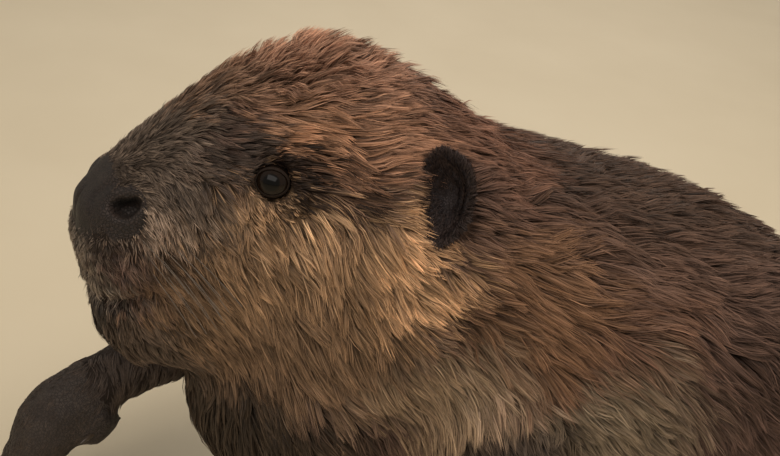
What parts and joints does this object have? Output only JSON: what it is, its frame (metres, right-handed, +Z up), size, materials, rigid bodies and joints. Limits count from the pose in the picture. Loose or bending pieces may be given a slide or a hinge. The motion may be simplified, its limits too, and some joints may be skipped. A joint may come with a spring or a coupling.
{
  "type": "beaver",
  "caption": "Life-size still model of a beaver standing on its feet with its head raised, one forefoot reaching ahead and the broad scaly tail flat on the floor.",
  "frame": {"origin": "middle of the bounding box at floor level", "axes": "+Z up, the animal faces -Y, its left side is +X"},
  "size_m": [0.3364, 0.8162, 0.2832],
  "materials": {
    "coat": "coarse reddish brown guard hair over dense underfur, golden tan on the cheeks",
    "dark_coat": "short near-black brown fur",
    "hide": "bare dark grey skin, finely wrinkled and slightly moist",
    "tail_hide": "dark grey leathery skin in small scales, satin",
    "ear_hide": "near-black skin with very short fur",
    "eye": "wet dark brown eye, polished",
    "claw": "dark brown horn, satin"
  },
  "bodies": {
    "root": {"head": "coat", "lower_jaw": "coat", "throat": "coat", "neck": "coat", "chest": "coat", "belly": "coat", "rump": "coat", "foreleg_left": "dark_coat", "foreleg_right": "dark_coat", "hindleg_left": "dark_coat", "hindleg_right": "dark_coat", "nose_pad": "hide", "forefoot_left": "hide", "forefoot_right": "hide", "hindfoot_left": "hide", "hindfoot_right": "hide", "tail": "tail_hide", "ear_left": "ear_hide", "ear_right": "ear_hide", "eye_left": "eye", "eye_right": "eye", "foreclaw_left_1": "claw", "foreclaw_left_2": "claw", "foreclaw_left_3": "claw", "foreclaw_left_4": "claw", "foreclaw_left_5": "claw", "foreclaw_right_1": "claw", "foreclaw_right_2": "claw", "foreclaw_right_3": "claw", "foreclaw_right_4": "claw", "foreclaw_right_5": "claw", "hindclaw_left_1": "claw", "hindclaw_left_2": "claw", "hindclaw_left_3": "claw", "hindclaw_left_4": "claw", "hindclaw_left_5": "claw", "hindclaw_right_1": "claw", "hindclaw_right_2": "claw", "hindclaw_right_3": "claw", "hindclaw_right_4": "claw", "hindclaw_right_5": "claw"}
  },
  "joints": []
}
